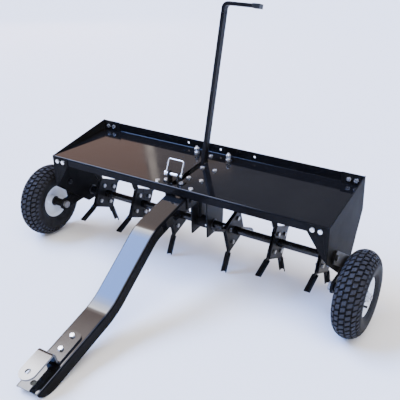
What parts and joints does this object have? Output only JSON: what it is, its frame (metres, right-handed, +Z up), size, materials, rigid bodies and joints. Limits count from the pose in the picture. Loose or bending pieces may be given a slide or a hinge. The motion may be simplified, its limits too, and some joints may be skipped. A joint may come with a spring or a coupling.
{
  "type": "tow behind aerator",
  "caption": "Black tow-behind plug aerator: weight tray on lift wheels, reels of spoon tines below it, bent channel tongue with clevis hitch, and a lift lever with lock pin.",
  "frame": {"origin": "on the ground below the middle of the outer box, with the wheels and the tongue nose on the ground", "axes": "+X to the right across the tray, along the wheel and reel axes; +Y to the rear; +Z up"},
  "size_m": [1.2724, 1.013, 0.8748],
  "materials": {
    "tray_paint": "gloss black paint",
    "panel_paint": "satin black paint",
    "tongue_paint": "gloss black paint",
    "frame_paint": "satin black paint",
    "hitch_paint": "gloss black paint",
    "arm_paint": "satin black paint",
    "latch_paint": "satin black paint",
    "lever_paint": "satin black paint",
    "star_paint": "satin black paint",
    "tine_paint": "satin black paint",
    "tube_paint": "satin black paint",
    "zinc": "bright zinc plate",
    "pin_zinc": "bright zinc plate",
    "star_bolt": "zinc plate",
    "shaft_steel": "plain steel",
    "rim": "light grey paint",
    "tyre": "matt black rubber",
    "bush": "black nylon",
    "valve_rubber": "black rubber",
    "cap_plastic": "black plastic"
  },
  "bodies": {
    "frame": {"tray": "tray_paint", "end_panel_left": "panel_paint", "end_panel_right": "panel_paint", "panel_bolts": "zinc", "panel_nuts": "zinc", "tongue": "tongue_paint", "tongue_angle_left": "frame_paint", "tongue_angle_right": "frame_paint", "tongue_bolts": "frame_paint", "tongue_nuts": "frame_paint", "hitch_strap": "hitch_paint", "hitch_bolts": "zinc", "hitch_nuts": "zinc", "floor_bolts": "zinc", "floor_nuts": "zinc", "rear_studs": "zinc", "stud_nuts": "zinc", "centre_hanger": "frame_paint", "hanger_bushes": "bush", "panel_bushes": "bush", "bearing_strap_left": "arm_paint", "bearing_strap_right": "arm_paint", "strap_bolts": "zinc", "strap_nuts": "zinc", "latch_ears": "latch_paint"},
    "lift": {"lift_shaft": "shaft_steel", "lift_lever": "lever_paint", "lever_pin": "zinc", "grip_cap": "cap_plastic", "wheel_arm_left": "arm_paint", "wheel_arm_right": "arm_paint", "shaft_washers": "zinc", "shaft_nuts": "zinc", "wheel_spindles": "zinc", "hub_spacers": "arm_paint", "spindle_washers": "zinc", "spindle_nuts": "zinc"},
    "wheel_left": {"tyre_left": "tyre", "rim_left": "rim", "hub_bushes_left": "bush", "valve_left": "valve_rubber"},
    "wheel_right": {"tyre_right": "tyre", "rim_right": "rim", "hub_bushes_right": "bush", "valve_right": "valve_rubber"},
    "reel_left": {"star_plates_left": "star_paint", "tines_left": "tine_paint", "reel_spacers_left": "tube_paint", "star_bolts_left": "star_bolt", "star_nuts_left": "star_bolt"},
    "reel_right": {"star_plates_right": "star_paint", "tines_right": "tine_paint", "reel_spacers_right": "tube_paint", "star_bolts_right": "star_bolt", "star_nuts_right": "star_bolt"},
    "lock": {"lock_pin": "pin_zinc", "lock_bail": "pin_zinc"}
  },
  "joints": [
    {"name": "lift", "type": "hinge", "parent": "frame", "child": "lift", "pos_m": [0, 0.36809, 0.14587], "axis": [1, 0, 0], "range_deg": [0, 26]},
    {"name": "wheel_left_spin", "type": "hinge", "parent": "lift", "child": "wheel_left", "pos_m": [-0.5927, 0.22773, 0.1325], "axis": [1, 0, 0], "continuous": true},
    {"name": "wheel_right_spin", "type": "hinge", "parent": "lift", "child": "wheel_right", "pos_m": [0.5927, 0.22773, 0.1325], "axis": [1, 0, 0], "continuous": true},
    {"name": "reel_left_spin", "type": "hinge", "parent": "frame", "child": "reel_left", "pos_m": [-0.2755, 0.36809, 0.14587], "axis": [1, 0, 0], "continuous": true},
    {"name": "reel_right_spin", "type": "hinge", "parent": "frame", "child": "reel_right", "pos_m": [0.2755, 0.36809, 0.14587], "axis": [1, 0, 0], "continuous": true},
    {"name": "lock_bail_swing", "type": "hinge", "parent": "frame", "child": "lock", "pos_m": [-0.022, 0.20118, 0.36905], "axis": [1, 0, 0], "range_deg": [-10, 115]}
  ]
}
